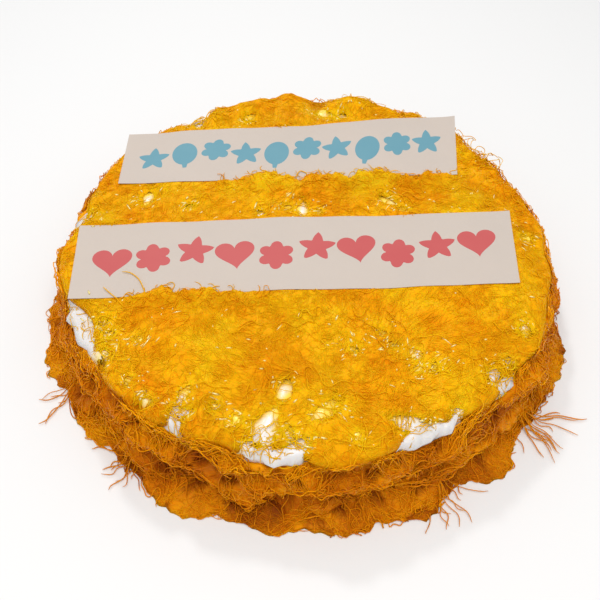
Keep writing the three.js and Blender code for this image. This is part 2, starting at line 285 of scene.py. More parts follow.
# The banners: about their size, and for each its corners from the far left one clockwise, and its heights
# above the cake along its length.
paper_length, paper_width = 240, 58
rear_strip = {
    "corners": [(-120, 94), (101, 119.5), (95.5, 59), (-119.5, 45.5)],
    "heights": [6.6, 8.2, 6.4, 8.4, 7.2],
}
front_strip = {
    "corners": [(-136.5, 8.5), (123.5, 26.5), (120, -31.5), (-132, -48)],
    "heights": [5.8, 7.4, 7.8, 6.6, 6.9],
}


def strip_point(strip, along, across):
    """The place on a banner at a share of its length and, from the far edge, of its width."""
    far_left, far_right, near_right, near_left = [np.array(corner, float) for corner in strip["corners"]]
    along, across = np.asarray(along)[..., None], np.asarray(across)[..., None]
    plan = (1 - across) * ((1 - along) * far_left + along * far_right)
    plan = plan + across * ((1 - along) * near_left + along * near_right)
    heights = np.array(strip["heights"])
    place = np.clip(along, 0, 1) * (len(heights) - 1)
    k = np.minimum(place.astype(int), len(heights) - 2)
    height = heights[k] + (heights[k + 1] - heights[k]) * ease(place - k, 0, 1)
    bow = 0.8 * np.sin(np.pi * np.clip(across, 0, 1))
    return np.concatenate([plan, cake_height + height + bow], -1)


def strip_place(strip, x, y):
    """The shares of a banner's length and width that lie over a point of the plan, by Newton's method."""
    along = np.full(np.shape(x), 0.5)
    across = np.full(np.shape(x), 0.5)
    for _ in range(4):
        here = strip_point(strip, along, across)
        by_along = (strip_point(strip, along + 0.01, across) - here)[..., :2] / 0.01
        by_across = (strip_point(strip, along, across + 0.01) - here)[..., :2] / 0.01
        off_x, off_y = x - here[..., 0], y - here[..., 1]
        area = by_along[..., 0] * by_across[..., 1] - by_along[..., 1] * by_across[..., 0]
        along = along + (off_x * by_across[..., 1] - off_y * by_across[..., 0]) / area
        across = across + (off_y * by_along[..., 0] - off_x * by_along[..., 1]) / area
    return along, across


def inside_strip(strip, x, y):
    """How far inside a banner's outline a point lies, negative outside, and the paper's height near it."""
    along, across = strip_place(strip, x, y)
    from_end = np.minimum(along, 1 - along) * paper_length
    from_edge = np.minimum(across, 1 - across) * paper_width
    height = strip_point(strip, np.clip(along, 0, 1), np.clip(across, 0, 1))[..., 2]
    return np.minimum(from_end, from_edge), height


def ceiling(x, y):
    """Height of the paper's underside over a point, and far up where there is none."""
    lowest = np.full(np.shape(x), 99.0)
    for strip in (rear_strip, front_strip):
        inside, height = inside_strip(strip, x, y)
        lowest = np.minimum(lowest, height - 0.25 + np.where(inside > -1, 0, 99))
    return lowest


def seam_height(angle):
    """Height at which the coat of the top ends and that of the side begins."""
    return seam_middle + 2.2 * waves(100 * np.cos(angle), 100 * np.sin(angle), 52, 12)


def top_outline(angle):
    """Radius of the top's coat at its rolled rim, in each direction."""
    x, y = 100 * np.cos(angle), 100 * np.sin(angle)
    radius = top_radius + 1.6 * waves(x, y, 61, 4) + 1.2 * waves(x, y, 23, 5)
    for at, half, depth in notches:
        off = turn_from(angle, at) / math.radians(half)
        radius = radius - depth * np.exp(-(off ** 2))
    return radius


def top_height(x, y):
    """Height of the coat where it lies thick: a low crown with lumps, and the heaps at the far rim."""
    crown = 1.6 * (1 - (x * x + y * y) / top_radius ** 2)
    lumps = 1.1 * waves(x, y, 47, 1) + 0.9 * waves(x, y, 23, 2) + 0.6 * waves(x, y, 15, 3)
    height = cake_height + top_thickness + crown + lumps
    for at_x, at_y, wide, rise in rim_heaps:
        height = height + rise * np.exp(-(((x - at_x) ** 2 + (y - at_y) ** 2) / wide ** 2) ** 2)
    return height


def thinned_height(x, y):
    """The coat's own surface, which rises to the edges of the banners and thins out towards the gaps."""
    height = top_height(x, y)
    for strip in (rear_strip, front_strip):
        inside, paper = inside_strip(strip, x, y)
        near = 1 - ease(np.abs(inside), 0, 9)
        height = height + np.maximum(paper - 0.5 - height, 0) * near
    cream = cream_surface(x, y)
    body = ease(gap_distance(x, y), 0, thin_margin) ** 0.7
    return cream + thin_edge + (height - cream - thin_edge) * body


def over_rim(x, y, lift, surface):
    """Lays a flat route over the coat, and down over its rolled rim where it reaches past that."""
    reach, angle = np.hypot(x, y), np.arctan2(y, x)
    edge = top_outline(angle)
    past = reach - (edge - rim_roll)
    turn = np.clip(past / rim_arc, 0, 1) * np.pi / 2
    out = np.where(past > 0, edge - rim_roll + (rim_roll + lift) * np.sin(turn), reach)
    flat_x, flat_y = out * np.cos(angle), out * np.sin(angle)
    height = surface(flat_x, flat_y)
    drop = np.maximum(height - seam_height(angle) - 3, 0)
    z = height + lift * np.cos(turn) - drop * (1 - np.cos(turn)) - np.maximum(past - rim_arc, 0)
    on_cake = np.where(out < cake_radius + 1, cream_surface(flat_x, flat_y) + 0.15, 0)
    z = np.minimum(z, ceiling(flat_x, flat_y) + np.minimum(lift, 0) - 0.2)
    return np.stack([flat_x, flat_y, np.maximum(z, on_cake + 0.3 * (lift >= 0))], -1)


def shell(upper, lower, faces, kept):
    """A closed body between two like surfaces, for the faces that are kept, with walls round every edge."""
    faces = faces[kept]
    count = len(upper)
    edges = np.concatenate([faces[:, [k, (k + 1) % 4]] for k in range(4)])
    key = np.minimum(edges[:, 0], edges[:, 1]) * count + np.maximum(edges[:, 0], edges[:, 1])
    _, first, uses = np.unique(key, return_index=True, return_counts=True)
    border = edges[first[uses == 1]]
    walls = np.stack([border[:, 1], border[:, 0], border[:, 0] + count, border[:, 1] + count], 1)
    faces = np.concatenate([faces, faces[:, ::-1] + count, walls])
    used, numbers = np.unique(faces, return_inverse=True)
    return np.concatenate([upper, lower])[used], numbers.reshape(-1, 4).tolist(), used % count


def lemon_share(x, y):
    """How pale and lemon the threads are: most beside the gaps, where they lie thin over the cream."""
    near = ease(-gap_distance(x, y), -swell_margin, 0.5)
    patches = 0.3 + 0.2 * waves(x, y, 58, 41) + 0.14 * waves(x, y, 19, 42)
    return np.clip(0.75 * near + patches * (1 - 0.5 * near), 0, 1)


def top_tone(x, y):
    """The tone of the threads at a place: 0 for the dense colour, 1 for the middle one."""
    return 0.5 + 0.3 * waves(x, y, 31, 45) + 0.15 * waves(x, y, 9, 47)


def rescale(nodes, links, value, source=(0, 1), target=(0, 1)):
    """Maps a value from one range to another, and keeps it within that."""
    scale = nodes.new("ShaderNodeMapRange")
    for key, number in zip(("From Min", "From Max", "To Min", "To Max"), (*source, *target)):
        scale.inputs[key].default_value = number
    links.new(value, scale.inputs["Value"])
    return scale.outputs["Result"]


def add_fibres(nodes, links):
    """Fine crossing lines on a mat, drawn over the flat place that the values along and up hold."""
    place = nodes.new("ShaderNodeCombineXYZ")
    for socket, key in (("X", "along"), ("Y", "up")):
        links.new(read_value(nodes, key), place.inputs[socket])
    drift = nodes.new("ShaderNodeTexNoise")
    drift.inputs["Scale"].default_value = 0.05
    links.new(place.outputs["Vector"], drift.inputs["Vector"])
    bent = nodes.new("ShaderNodeVectorMath")
    bent.operation = "MULTIPLY_ADD"
    bent.inputs[1].default_value = (24, 24, 0)
    links.new(drift.outputs["Color"], bent.inputs[0])
    links.new(place.outputs["Vector"], bent.inputs[2])
    blend = None
    for turn, patch in ((0.2, 0.09), (1.3, 0.13), (2.5, 0.11)):
        comb_way = nodes.new("ShaderNodeMapping")
        comb_way.inputs["Rotation"].default_value = (0, 0, turn)
        comb_way.inputs["Scale"].default_value = (0.06, 1.5, 1)
        links.new(bent.outputs["Vector"], comb_way.inputs["Vector"])
        lines = nodes.new("ShaderNodeTexNoise")
        lines.inputs["Scale"].default_value = 1
        lines.inputs["Detail"].default_value = 1
        links.new(comb_way.outputs["Vector"], lines.inputs["Vector"])
        if blend is None:
            blend = lines.outputs["Fac"]
            continue
        mask = nodes.new("ShaderNodeTexNoise")
        mask.inputs["Scale"].default_value = patch
        links.new(place.outputs["Vector"], mask.inputs["Vector"])
        mix = nodes.new("ShaderNodeMix")
        links.new(rescale(nodes, links, mask.outputs["Fac"], (0.42, 0.58)), mix.inputs["Factor"])
        links.new(blend, mix.inputs["A"])
        links.new(lines.outputs["Fac"], mix.inputs["B"])
        blend = mix.outputs["Result"]
    return blend


def thread_material(name, colours, specular, subsurface, radius, groove_shade_and_bump=0):
    """Moist egg thread. Each thread has its own tone; thin places are pale and glossy, and the value deep
    blends in the deep colour, which is painted shade. The last argument is how dark the painted shade in the
    fine lines between the threads of a mat is, and how strongly those lines are bumped."""
    material, nodes, links, shader = new_material(name, 0.5, specular, subsurface, radius)
    shader.inputs["Specular Tint"].default_value = (1, 0.78, 0.2, 1)
    share = {key: read_value(nodes, key) for key in ("tone", "thin", "deep")}
    patches = rescale(nodes, links, add_noise(nodes, links, 140), (0.35, 0.65))
    own = mix_colours(nodes, links, share["tone"], colours["dense"], colours["middle"])
    patched = mix_colours(nodes, links, patches, own, colours["middle"])
    pale = mix_colours(nodes, links, share["thin"], patched, colours["thin"])
    # Painted shade: the deep colour blended in by the value deep.
    shaded = mix_colours(nodes, links, share["deep"], pale, colours["deep"])
    if groove_shade_and_bump:
        lines = add_fibres(nodes, links)
        # Painted shade in the fine lines between the threads of a mat.
        painted_groove_shade = nodes.new("ShaderNodeMath")
        painted_groove_shade.operation = "MULTIPLY"
        links.new(rescale(nodes, links, lines, (0.5, 0.3), (0, groove_shade_and_bump)), painted_groove_shade.inputs[0])
        links.new(rescale(nodes, links, share["thin"], target=(1, 0.1)), painted_groove_shade.inputs[1])
        shaded = mix_colours(nodes, links, painted_groove_shade.outputs["Value"], shaded, colours["deep"])
        add_bump(nodes, links, shader, lines, 1.5 * groove_shade_and_bump, 0.0008)
    else:
        add_bump(nodes, links, shader, add_noise(nodes, links, 1400, 2), 0.3, 0.0003)
    links.new(shaded, shader.inputs["Base Color"])
    links.new(rescale(nodes, links, share["thin"], target=(0.5, 0.22)), shader.inputs["Roughness"])
    return material


def rim_shade(z):
    """How far down over the rim a thread hangs, where it lies in the shade of those above it."""
    return 0.8 * ease(47 - z, 0, 5)


# The deep colour is painted shade: for threads that hang down over the rim, and for the fine lines between
# the matted threads.
top_colours = {"dense": (0.75, 0.235, 0.001), "middle": (0.82, 0.315, 0.001), "thin": (0.90, 0.53, 0.004),
               "deep": (0.56, 0.16, 0.001)}
top_mat_material = thread_material("matted top threads", top_colours, 0.1, 0.5, (2.5, 1.0, 0.1), 0.15)
top_material = thread_material("top threads", top_colours, 0.12, 0.4, (0.4, 0.3, 0.1))

disc_x, disc_y, quads, _ = round_grid(136)
angle = np.arctan2(disc_y, disc_x)
ragged = 1.2 * waves(140 * np.cos(angle), 140 * np.sin(angle), 9, 46)
mat_edge = 1.0
plan_reach = (top_outline(angle) - rim_roll + rim_arc + ragged) * np.hypot(disc_x, disc_y)
x, y = plan_reach * np.cos(angle), plan_reach * np.sin(angle)
distance = gap_distance(x, y)
kept = distance[quads].mean(1) > mat_edge
edge_points = np.intersect1d(quads[kept], quads[~kept])
slope_x = (gap_distance(x + 0.1, y) - gap_distance(x - 0.1, y)) / 0.2
slope_y = (gap_distance(x, y + 0.1) - gap_distance(x, y - 0.1)) / 0.2
steep = np.maximum(slope_x ** 2 + slope_y ** 2, 0.3)
x[edge_points] -= np.clip((distance - mat_edge) * slope_x / steep, -1, 1)[edge_points]
y[edge_points] -= np.clip((distance - mat_edge) * slope_y / steep, -1, 1)[edge_points]
felt = 0.16 * waves(x, y, 7, 43) + 0.1 * waves(x, y, 4.3, 44) - 0.15
upper = over_rim(x, y, 0 * x, thinned_height)
upper[:, 2] += felt * ease(distance, 0, thin_margin)
on_cream = np.hypot(upper[:, 0], upper[:, 1]) < cake_radius + 1
upper[:, 2] = np.maximum(upper[:, 2], np.where(on_cream, cream_surface(upper[:, 0], upper[:, 1]) + 0.45, 0))
lower = over_rim(x, y, -4.0 * ease(distance, 0, thin_margin) - 0.4, thinned_height)
points, faces, source = shell(upper, lower, quads, kept)
values = {
    "thin": lemon_share(x, y)[source],
    "tone": top_tone(x, y)[source],
    # Painted shade where the coat rolls down over the rim.
    "deep": rim_shade(upper[:, 2])[source],
    "along": x[source],
    "up": y[source],
}
top_mat = make_piece("top_mat", points, faces, top_mat_material, values)
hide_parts("top_threads")


# The combed threads on the top
# Egg threads are drawn out in hot syrup and are under a millimetre thick. They are pulled apart in skeins
# and laid by hand, so that those of one skein run side by side, cross those below, and hang over the rim
# here and there.
thread_sides = 3
turn_past_rim = 3


def thread_mesh(routes, radius):
    """Tubes of thread_sides sides along routes, with ends that taper, and which route each point is on."""
    count, steps = routes.shape[:2]
    ahead = np.gradient(routes, axis=1)
    ahead /= np.linalg.norm(ahead, axis=2, keepdims=True) + 1e-9
    side = np.cross(ahead[:, 0], [0.31, 0.17, 0.93])
    rings = []
    taper = np.minimum(1, 0.45 + 0.55 * np.minimum(np.arange(steps), np.arange(steps)[::-1]) / 2)
    for s in range(steps):
        side = side - (side * ahead[:, s]).sum(1, keepdims=True) * ahead[:, s]
        side /= np.linalg.norm(side, axis=1, keepdims=True) + 1e-9
        other = np.cross(ahead[:, s], side)
        for k in range(thread_sides):
            turn = 2 * np.pi * k / thread_sides
            arm = math.cos(turn) * side + math.sin(turn) * other
            rings.append(routes[:, s] + arm * (radius * taper[s])[:, None])
    points = np.stack(rings, 1).reshape(-1, 3)
    ring = np.arange(steps - 1)[None, :, None] * thread_sides
    first = np.arange(count)[:, None, None] * steps * thread_sides + ring
    here = np.arange(thread_sides)
    following = (here + 1) % thread_sides
    corners = [first + here, first + following, first + thread_sides + following, first + thread_sides + here]
    walls = np.stack(corners, -1).reshape(-1, 4)
    start = np.arange(count)[:, None] * steps * thread_sides
    ends = np.concatenate([start + here[::-1], start + (steps - 1) * thread_sides + here])
    return points, walls.tolist() + ends.tolist(), np.repeat(np.arange(count), steps * thread_sides)


def add_threads(name, routes, radius, tone, thin, deep, material):
    """A piece of threads along routes. tone is given for each thread, thin and deep at each of its steps."""
    points, faces, owner = thread_mesh(routes, radius)
    values = {
        "tone": tone[owner],
        "thin": np.repeat(thin.reshape(-1), thread_sides),
        "deep": np.repeat(deep.reshape(-1), thread_sides),
    }
    return make_piece(name, points, faces, material, values)


def comb(random, x, y, lead, stroke, each, steps, length, spread, stray, wild=0):
    """Flat routes of threads in skeins: side by side along the strokes of the hand, each with its own wander.
    wild is how far they turn from their way, in radians, every few millimetres."""
    count = len(x) * each
    curl = np.repeat(random.normal(0, 0.6, len(x)), each) + random.normal(0, 0.25, count)
    lead = np.repeat(lead, each)
    aside = random.normal(0, spread, count)
    ahead = random.uniform(-0.7, 0.1, count) * length
    x = np.repeat(x, each) + ahead * np.cos(lead) - aside * np.sin(lead)
    y = np.repeat(y, each) + ahead * np.sin(lead) + aside * np.cos(lead)
    lead = lead + random.normal(0, stray, count)
    step = length * random.uniform(0.6, 1.4, count) / (steps - 1)
    swing = random.uniform(0.1, 0.45, count)
    phase = random.uniform(0, 2 * np.pi, count)
    bends = wild * random.uniform(0.3, 1.3, count)
    bend_length = random.uniform(1.4, 3.2, count)
    first_stroke = stroke(x, y)
    route_x, route_y = [], []
    for s in range(steps):
        route_x.append(x)
        route_y.append(y)
        wander = curl * s / steps + swing * np.sin(step * s / 3.5 + phase)
        wander = wander + bends * np.sin(step * s / bend_length + 2 * phase)
        heading = lead + 0.6 * (stroke(x, y) - first_stroke) + wander
        x = x + step * np.cos(heading)
        y = y + step * np.sin(heading)
    return np.stack(route_x, 1), np.stack(route_y, 1)


def top_stroke(x, y):
    """The direction in which the hand combed the threads at a place, in radians."""
    return 1.5 * waves(x, y, 150, 21) + 0.7 * waves(x, y, 62, 22)


def trim(x, y, clear):
    """Cuts each thread down to its longest clear run, and drops those with hardly any left."""
    count, steps = x.shape
    run = np.zeros(count, int)
    best = np.zeros(count, int)
    last = np.zeros(count, int)
    for s in range(steps):
        run = np.where(clear[:, s], run + 1, 0)
        last = np.where(run > best, s, last)
        best = np.maximum(run, best)
    kept = best > 3
    first = (last - best + 1)[kept, None]
    place = first + (best[kept, None] - 1) * np.linspace(0, 1, steps)
    low = np.minimum(place.astype(int), steps - 2)
    part = place - low
    row = np.arange(kept.sum())[:, None]
    x, y = x[kept], y[kept]
    return [axis[row, low] * (1 - part) + axis[row, low + 1] * part for axis in (x, y)]


def held_to_rim(random, x, y):
    """Turns threads that reach past the rim back onto the cake, each where it hangs over as far as it may."""
    reach, angle = np.hypot(x, y), np.arctan2(y, x)
    limit = top_outline(angle) - rim_roll + rim_arc + random.uniform(-3, turn_past_rim, (len(x), 1))
    held = limit - np.abs(limit - reach)
    return held * np.cos(angle), held * np.sin(angle)


def under_paper(x, y):
    """Whether a place is well inside one of the banners."""
    return (inside_strip(rear_strip, x, y)[0] > 5) | (inside_strip(front_strip, x, y)[0] > 5)


# The layers from the lowest up: how far in radians the threads of a skein stray from its way, how long they
# are, and between which depths they lie.
combed_layers = [
    {"name": "combed_threads_1", "seed": 51, "stray": 0.30, "length": 40, "depth": (-0.28, -0.1)},
    {"name": "combed_threads_2", "seed": 52, "stray": 0.10, "length": 46, "depth": (-0.24, -0.05)},
    {"name": "combed_threads_3", "seed": 53, "stray": 0.14, "length": 42, "depth": (-0.2, 0.03)},
]
skeins, threads_each, thread_steps = 178, 10, 10
furthest_skein, skein_spread = 145, 5
for layer in combed_layers:
    random = np.random.default_rng(layer["seed"])
    reach = furthest_skein * np.sqrt((np.arange(skeins) + random.uniform(0.2, 0.8, skeins)) / skeins)
    around = golden_turn * np.arange(skeins) + layer["seed"]
    x, y = reach * np.cos(around), reach * np.sin(around)
    lead = top_stroke(x, y) + random.normal(0, 0.6, skeins)
    x, y = comb(random, x, y, lead, top_stroke, threads_each, thread_steps, layer["length"], skein_spread,
                layer["stray"])
    crosses = random.uniform(0, 1, len(x)) < 0.025
    clear = gap_distance(x, y) > random.uniform(-1.1, 0.7, len(x))[:, None]
    x, y = trim(x, y, (clear | crosses[:, None]) & ~under_paper(x, y))
    x, y = held_to_rim(random, x, y)
    count = len(x)
    share = np.linspace(0, 1, thread_steps)
    weave = random.uniform(4, 14, count)[:, None] * share + random.uniform(0, 2 * np.pi, count)[:, None]
    lift = random.uniform(*layer["depth"], count)[:, None] + 0.06 * np.sin(weave)
    routes = over_rim(x, y, lift, thinned_height)
    own = random.uniform(-0.1, 0.1, count)
    tone = np.clip(top_tone(x[:, 5], y[:, 5]) + own, 0, 1)
    thin = np.clip(lemon_share(x, y) + own[:, None], 0, 1)
    # Threads that hang down over the rim get painted shade.
    combed = add_threads(layer["name"], routes, random.uniform(0.17, 0.28, count), tone, thin,
                         rim_shade(routes[:, :, 2]), top_material)


# The loose threads of the top
# Single threads that lie on the coat in curves and small loops, most of them beside the gaps and along the
# rim, where they stand up against the light.
random = np.random.default_rng(56)
loose_count, loose_steps = 440, 18
reach = np.where(random.uniform(0, 1, loose_count) < 0.5, random.uniform(132, 146, loose_count),
                 140 * np.sqrt(random.uniform(0, 1, loose_count)))
around = random.uniform(0, 2 * np.pi, loose_count)
standing = np.arange(loose_count) % 9 == 0
around = np.where(standing, random.normal(0.75, 0.28, loose_count), around)
reach = np.where(standing, random.uniform(137, 145, loose_count), reach)
x, y = reach * np.cos(around), reach * np.sin(around)
gap_spots = np.array([gap[:2] for gap in gaps], float)
beside_gap = (random.uniform(0, 1, loose_count) < 0.4) & ~standing
spot = random.integers(0, len(gaps), loose_count)
x = np.where(beside_gap, gap_spots[spot, 0] + random.normal(0, 8, loose_count), x)
y = np.where(beside_gap, gap_spots[spot, 1] + random.normal(0, 8, loose_count), y)
lead = top_stroke(x, y) + random.normal(0, 1.2, loose_count)
x, y = comb(random, x, y, lead, top_stroke, 1, loose_steps, 19, 1, 0.3, 1.0)
crosses = random.uniform(0, 1, loose_count) < 0.2
x, y = trim(x, y, ~under_paper(x, y) & (crosses[:, None] | (gap_distance(x, y) > -0.3)))
x, y = held_to_rim(random, x, y)
count = len(x)
share = np.linspace(0, 1, loose_steps)
middle_x, middle_y = x[:, loose_steps // 2], y[:, loose_steps // 2]
far_right = np.hypot(middle_x - 103, middle_y - 96) < 40
far_right &= np.hypot(middle_x, middle_y) > 132
arch = random.gamma(1.2, 0.55, count)[:, None] * np.sin(np.pi * share) ** 0.7
arch = arch * np.where(far_right, 4.5, 1)[:, None]
bounce = 0.3 * np.sin(random.uniform(8, 18, count)[:, None] * share + random.uniform(0, 6, count)[:, None])
highest = np.where(far_right, 7, 2.6)[:, None]
routes = over_rim(x, y, np.minimum(0.3 + arch + bounce, highest), thinned_height)
tone = random.uniform(0.3, 0.9, count)
thin = np.clip(lemon_share(x, y) + 0.25, 0, 1)
# Threads that hang down over the rim get painted shade.
stray_threads = add_threads("stray_threads", routes, random.uniform(0.2, 0.32, count), tone, thin,
                            rim_shade(routes[:, :, 2]), top_material)

# Where the coat falls short of the rim, single threads lie across the bare cream.
random = np.random.default_rng(57)
notch_each, notch_steps = 18, 14
deep_notches = np.array([notch for notch in notches if notch[2] > 4], float)
at, half, depth = np.repeat(deep_notches, notch_each, axis=0).T
around = np.radians(at + half * random.normal(0, 0.8, len(at)))
reach = top_outline(around) - 3 + random.uniform(0, 1, len(at)) * (depth + 3)
lead = around + random.choice([-1.57, 1.57], len(at)) + random.normal(0, 0.5, len(at))
x, y = reach * np.cos(around), reach * np.sin(around)
x, y = comb(random, x, y, lead, top_stroke, 1, notch_steps, 17, 0.5, 0.3, 1.0)
reach, around = np.hypot(x, y), np.arctan2(y, x)
furthest = cake_radius + random.uniform(-3, 4.5, (len(x), 1))
reach = furthest - np.abs(furthest - reach)
x, y = reach * np.cos(around), reach * np.sin(around)
count = len(x)
lift = random.uniform(0.1, 0.9, count)[:, None]
lift = lift + 0.3 * np.sin(np.arange(notch_steps) + random.uniform(0, 6, count)[:, None])
bare = ease(reach - top_outline(around), -5, 0)
coat_height = over_rim(x, y, lift, thinned_height)[:, :, 2]
grown = 1 + cream_bulge(x, y) / cake_radius
bare_height = cream_surface(x / grown, y / grown) + 0.3 + np.maximum(lift, 0)
height = coat_height * (1 - bare) + bare_height * bare
notch_threads = add_threads("notch_threads", np.stack([x, y, height], -1), random.uniform(0.2, 0.3, count),
                            random.uniform(0.3, 0.9, count), 0.7 + 0 * height, 0 * height, top_material)


# The slivers of cream and syrup between the threads, with painted glints
# Where the threads lie thin, slivers of cream and drops of clear syrup show between them and catch the light.
# Each is a small flat drop that follows the coat, tinted pale: partly the cream's own colour, partly a
# painted glint.
sliver_and_glint_material, nodes, links, shader = new_material("syrup on cream with painted glints", 0.14, 0.5, 0.2, (1.0, 0.8, 0.4))
# The pale tint is partly the cream's and syrup's own colour, partly a painted glint.
sliver_and_painted_glint_tint = mix_colours(nodes, links, add_noise(nodes, links, 240), (0.95, 0.70, 0.09), (0.93, 0.86, 0.50))
links.new(sliver_and_painted_glint_tint, shader.inputs["Base Color"])
random = np.random.default_rng(58)
sliver_count, sliver_sides = 820, 6
spot = random.integers(0, len(gaps), sliver_count)
x = gap_spots[spot, 0] + random.normal(0, 4.8, sliver_count)
y = gap_spots[spot, 1] + random.normal(0, 4.8, sliver_count)
reach = 138 * np.sqrt(random.uniform(0, 1, sliver_count))
around = random.uniform(0, 2 * np.pi, sliver_count)
scattered = random.uniform(0, 1, sliver_count) < 0.2
x = np.where(scattered, reach * np.cos(around), x)
y = np.where(scattered, reach * np.sin(around), y)
kept = (gap_distance(x, y) > 0.8) & ~under_paper(x, y) & (np.hypot(x, y) < 138)
x, y = x[kept], y[kept]
count = len(x)
lead = top_stroke(x, y) + random.normal(0, 0.5, count)
long, wide = 0.5 + random.gamma(1.7, 0.55, count), random.uniform(0.25, 0.6, count)
turn = 2 * np.pi * np.arange(sliver_sides) / sliver_sides
along, across = np.outer(long, np.cos(turn)), np.outer(wide, np.sin(turn))
ring_x = x[:, None] + along * np.cos(lead)[:, None] - across * np.sin(lead)[:, None]
ring_y = y[:, None] + along * np.sin(lead)[:, None] + across * np.cos(lead)[:, None]
ring = np.stack([ring_x, ring_y, thinned_height(ring_x, ring_y) - 0.1], -1)
middle = np.stack([x, y, thinned_height(x, y)], -1)[:, None]
points = np.concatenate([ring, middle + [0, 0, 0.42], middle - [0, 0, 0.5]], 1).reshape(-1, 3)
faces = []
for first in range(0, len(points), sliver_sides + 2):
    for k in range(sliver_sides):
        here, following = first + k, first + (k + 1) % sliver_sides
        faces += [[here, following, first + sliver_sides], [following, here, first + sliver_sides + 1]]
slivers = make_piece("cream_slivers_and_painted_glints", points, faces, sliver_and_glint_material)


# The shaggy coat of threads round the side
# The threads are pressed on by the handful. They sag in swags with ragged edges that shade the hollows
# between them, and they spread out where they meet what the cake stands on.
side_thickness = 7
foot_radius = 160
swag_height = 22
foot_reach = 5.5
around_scale = 150
mat_depth_at_cream = 0.3


def side_waves(along, height, length, seed):
    """The uneven pattern laid round the side, where it runs into its own start after the full turn."""
    full_turn = 2 * np.pi * around_scale
    along = along % full_turn
    share = ease(along, full_turn - 40, full_turn)
    first = waves(along, height, length, seed)
    return first + (waves(along - full_turn, height, length, seed) - first) * share


def side_radius(angle, height):
    """Radius of the side with its flared foot, swags and tufts, without the finer relief."""
    x, y = 100 * np.cos(angle), 100 * np.sin(angle)
    flare = (foot_radius - cake_radius - side_thickness) * np.exp(-height / 5)
    shoulder = 3.5 * ease(height, seam_height(angle) - 9, seam_height(angle)) ** 2
    swag = 1.5 * np.sin(2 * np.pi * (height / swag_height + swag_droop(angle)))
    tufts = 1.7 * waves(x, y + 2 * height, 29, 8) + 0.8 * waves(x + height, y, 14, 9)
    tongues = 2.4 * waves(x, y, 27, 10) * np.exp(-height / 3.5)
    return cake_radius + side_thickness + flare - shoulder + swag + tufts + tongues


def swag_droop(angle):
    """How far the swags hang down at each place round the cake, as a share of their height."""
    x, y = 100 * np.cos(angle), 100 * np.sin(angle)
    return 0.35 * waves(x, y, 70, 6) + 0.2 * waves(x, y, 31, 7)


def swag_place(along, height):
    """Where in its swag a place lies: 0 at its ragged lower edge, and 1 where the next one hangs over it."""
    ragged = 0.12 * side_waves(along, height, 23, 60) + 0.06 * side_waves(along, height, 9, 61)
    ragged = ragged + 0.03 * side_waves(along, height, 4.5, 68)
    phase = height / swag_height + swag_droop(along / around_scale) + ragged
    return phase - np.floor(phase)


def side_hollow(along, height):
    """How deep in one of the scattered hollows a place lies, from 0 to 1."""
    return ease(side_waves(along, 1.5 * height, 19, 62), 0.5, 1.1)


def side_relief(angle, height):
    """Finer relief of the matted threads: ragged edges of the swags, hollows under them, small tufts."""
    along = around_scale * angle
    fall = swag_place(along, height)
    heavy = 0.75 + 0.45 * side_waves(along, height, 41, 69)
    ledge = heavy * (4.3 * ease(fall, 0.0, 0.08) * (1 - fall) ** 1.2 - 1.8)
    hollows = -3.8 * side_hollow(along, height)
    small = 0.4 * side_waves(along, height, 6.5, 63) + 0.2 * side_waves(along, height, 3.8, 64)
    small = small + side_waves(along, 0, 9, 72) * np.exp(-height / 3)
    return (ledge + hollows) * ease(height, 0.5, 6) * (1 - 0.5 * ease(height, 34, 40)) + small


def side_skin(angle, height):
    """Radius of the finished side, which leans in over the rolled rim above the seam."""
    seam = seam_height(angle)
    rise = np.clip((height - seam - 2) / 9, 0, 1)
    rolled = top_outline(angle) - rim_roll * (1 - np.sqrt(1 - rise ** 2)) + 0.3
    below = side_radius(angle, np.minimum(height, seam)) - 0.9 + side_relief(angle, height)
    share = ease(height, seam - 2, seam + 3)
    return below * (1 - share) + rolled * share


# The deep colour is painted shade: under the swags, in the hollows, and in the fine lines between the matted
# threads.
side_colours = {"dense": (0.60, 0.145, 0.001), "middle": (0.70, 0.20, 0.001), "thin": (0.92, 0.365, 0.002),
                "deep": (0.27, 0.04, 0.001)}
side_mat_material = thread_material("matted side threads", side_colours, 0.2, 0.45, (2.5, 1.0, 0.1), 0.26)
side_material = thread_material("side threads", side_colours, 0.25, 0.4, (0.4, 0.3, 0.1))

around, levels = 560, 28
angle = 2 * np.pi * np.arange(around) / around
angle, level = np.meshgrid(angle, np.arange(levels + 1) / levels, indexing="ij")
lip = seam_height(angle) + 1.2 + 1.1 * side_waves(around_scale * angle, 0, 7, 66) - 3.5 * notch_share(angle)
height = lip * level ** 1.2
tuck = 2.4 * ease(height - seam_height(angle), -5, 1)
out = np.maximum(side_skin(angle, height) - tuck, cake_radius + 1.5)
outer = np.stack([out * np.cos(angle), out * np.sin(angle), height], -1).reshape(-1, 3)
inside = cake_radius + mat_depth_at_cream
inner = np.stack([inside * np.cos(angle), inside * np.sin(angle), height], -1).reshape(-1, 3)
number = np.arange(around * (levels + 1)).reshape(around, levels + 1)
quads = grid_quads(np.vstack([number, number[:1]]))
points, faces, source = shell(outer, inner, quads, np.full(len(quads), True))


def side_tints(along, height):
    """The shares of pale and of dark colour on the side: pale at the swags' lower edges and towards the rim.
    The dark share is painted shade above each edge, where the next swag hangs over it, and in the hollows.
    """
    fall = swag_place(along, height)
    patch = side_waves(along, height, 44, 65)
    near_rim = ease(height, 28, 46)
    pale = 0.6 * (1 - fall) ** 2 * ease(fall, 0, 0.05) + 0.25 * patch + 0.6 * near_rim - 0.06
    painted_shade_share = 0.8 * fall ** 2 - 0.25 * patch + 0.6 * side_hollow(along, height) - 0.4 * near_rim - 0.08
    return np.clip(pale, 0, 1), np.clip(painted_shade_share, 0, 1)


def up_slope(height):
    """How far up the slope of the side a height lies: the wide foot makes the way longer than the height."""
    return height + 7.2 * (1 - np.exp(-height / 4))


